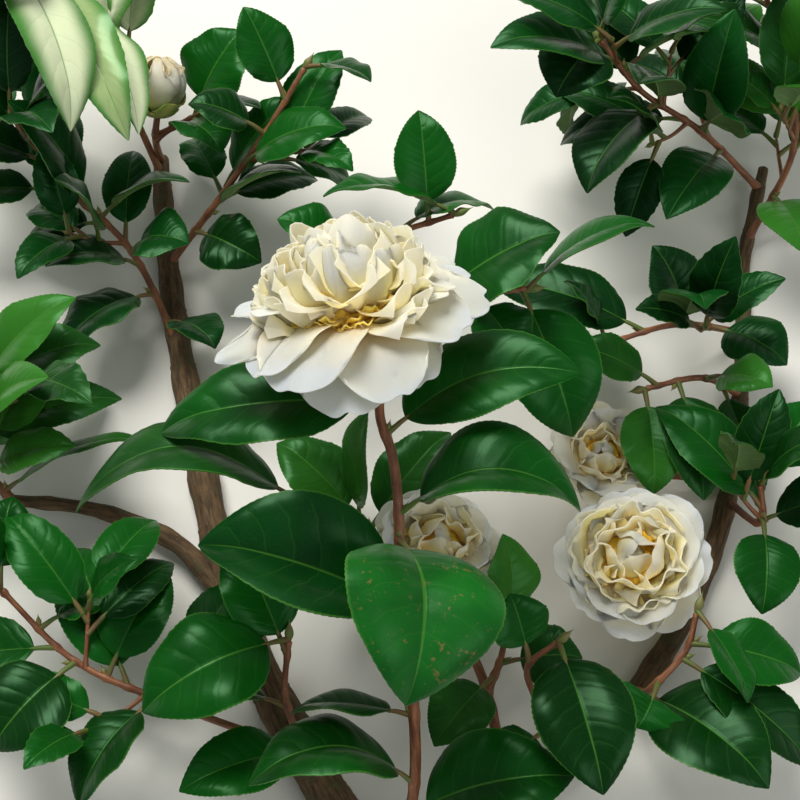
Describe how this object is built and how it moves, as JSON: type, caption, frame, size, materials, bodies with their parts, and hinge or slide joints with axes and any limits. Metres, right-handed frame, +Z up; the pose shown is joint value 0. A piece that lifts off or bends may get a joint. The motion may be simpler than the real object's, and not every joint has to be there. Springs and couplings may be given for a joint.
{
  "type": "cut camellia branch in bloom",
  "caption": "Cut branch of a camellia shrub lying on its back, with glossy dark leaves, white anemone-form blooms and a bud, for garden and floral scenes",
  "frame": {"origin": "on the ground, under the middle of the branch's bounding box", "axes": "+Z up from the ground the branch lies on; +Y from the cut foot towards the tips, up in the picture's view; +X to the right of that view, along the longest extent"},
  "size_m": [0.4462, 0.4208, 0.1682],
  "materials": {
    "wood": "thin grey-brown bark, reddish on young stems",
    "leaf": "leathery, glossy above and matt pale green below",
    "petal": "soft matt white, cream to yellow at the heart",
    "bud": "smooth cream with a green foot"
  },
  "bodies": {
    "root": {"bloom_behind": "petal", "bloom_far": "petal", "bloom_main": "petal", "bloom_right": "petal", "bough_left": "wood", "bough_low_left": "wood", "bough_middle": "wood", "bough_right": "wood", "bud": "bud", "flower_stem": "wood", "leaf_arched": "leaf", "leaf_foot_edge": "leaf", "leaf_foot_left": "leaf", "leaf_foot_right": "leaf", "leaf_front": "leaf", "leaf_left": "leaf", "leaf_low_left": "leaf", "leaf_right": "leaf", "spray_behind_bloom": "leaf", "spray_bud": "leaf", "spray_centre": "leaf", "spray_centre_low": "leaf", "spray_far_right": "leaf", "spray_hanging": "leaf", "spray_left": "leaf", "spray_low_middle": "leaf", "spray_low_right": "leaf", "spray_red_left": "leaf", "spray_right": "leaf", "spray_right_low": "leaf", "spray_right_middle": "leaf", "spray_right_twig": "leaf", "spray_top_middle": "leaf", "spray_upper_left": "leaf", "spray_upper_middle": "leaf", "spray_upper_right": "leaf", "spray_yellow": "leaf", "stalk_behind": "wood", "stalk_bud": "wood", "stalk_far": "wood", "stalk_right": "wood"}
  },
  "joints": []
}
